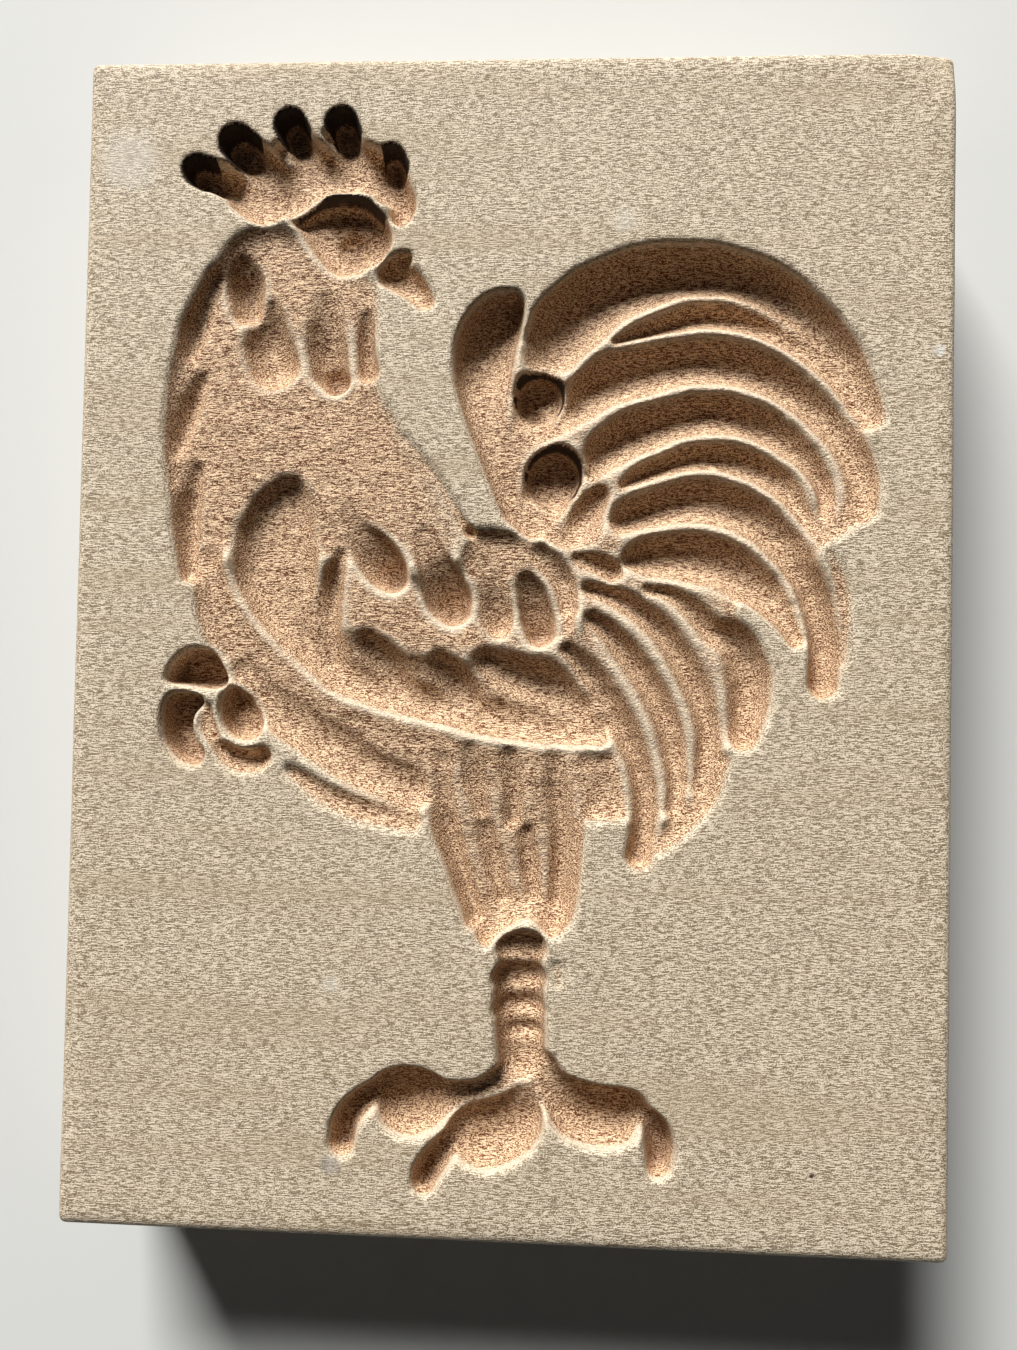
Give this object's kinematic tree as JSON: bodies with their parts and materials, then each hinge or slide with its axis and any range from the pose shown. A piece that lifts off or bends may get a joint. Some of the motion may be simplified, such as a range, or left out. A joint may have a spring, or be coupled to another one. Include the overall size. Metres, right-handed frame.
{
  "type": "springerle mould",
  "caption": "Small wooden board with a rooster and a flower carved into its face, pressed on springerle dough to raise the picture; plain flat back.",
  "frame": {"origin": "centre of the flat back face, on the surface that the board rests on", "axes": "+Z out of the carved face, +Y from the claws up to the comb, +X towards the tail"},
  "size_m": [0.09, 0.1216, 0.02],
  "materials": {
    "wood": "bare wood, hand carved, lightly worn"
  },
  "bodies": {
    "root": {"mould_board": "wood"}
  },
  "joints": []
}
